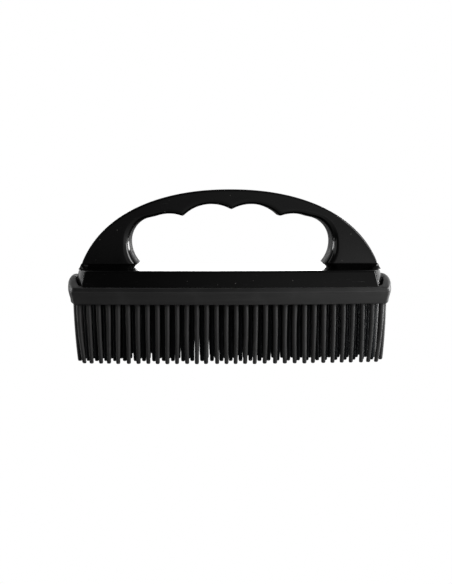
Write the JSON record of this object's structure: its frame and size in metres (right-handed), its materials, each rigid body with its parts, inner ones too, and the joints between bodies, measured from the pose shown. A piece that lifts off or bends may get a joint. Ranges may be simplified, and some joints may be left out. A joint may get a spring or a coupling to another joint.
{
  "type": "curry comb",
  "caption": "Rubber curry comb with an arched plastic hand grip with finger scallops, a shallow plastic base and long staggered rubber bristles.",
  "frame": {"origin": "under the middle of the comb, at the height of the bristle tips", "axes": "+X along the comb, +Y towards its back, +Z from the bristle tips up to the grip"},
  "size_m": [0.1804, 0.0586, 0.0941],
  "materials": {
    "grip_plastic": "glossy black",
    "base_plastic": "glossy black",
    "inner_plastic": "plain moulded black",
    "screw_steel": "zinc plated",
    "pad_rubber": "matt charcoal",
    "bristle_rubber": "matt charcoal"
  },
  "bodies": {
    "root": {"handle": "grip_plastic", "base_shell": "base_plastic", "handle_screws": "screw_steel", "support_plate": "inner_plastic", "plate_screws": "screw_steel", "rubber_pad": "pad_rubber", "bristle_row_1": "bristle_rubber", "bristle_row_2": "bristle_rubber", "bristle_row_3": "bristle_rubber", "bristle_row_4": "bristle_rubber", "bristle_row_5": "bristle_rubber", "bristle_row_6": "bristle_rubber", "bristle_row_7": "bristle_rubber"}
  },
  "joints": []
}
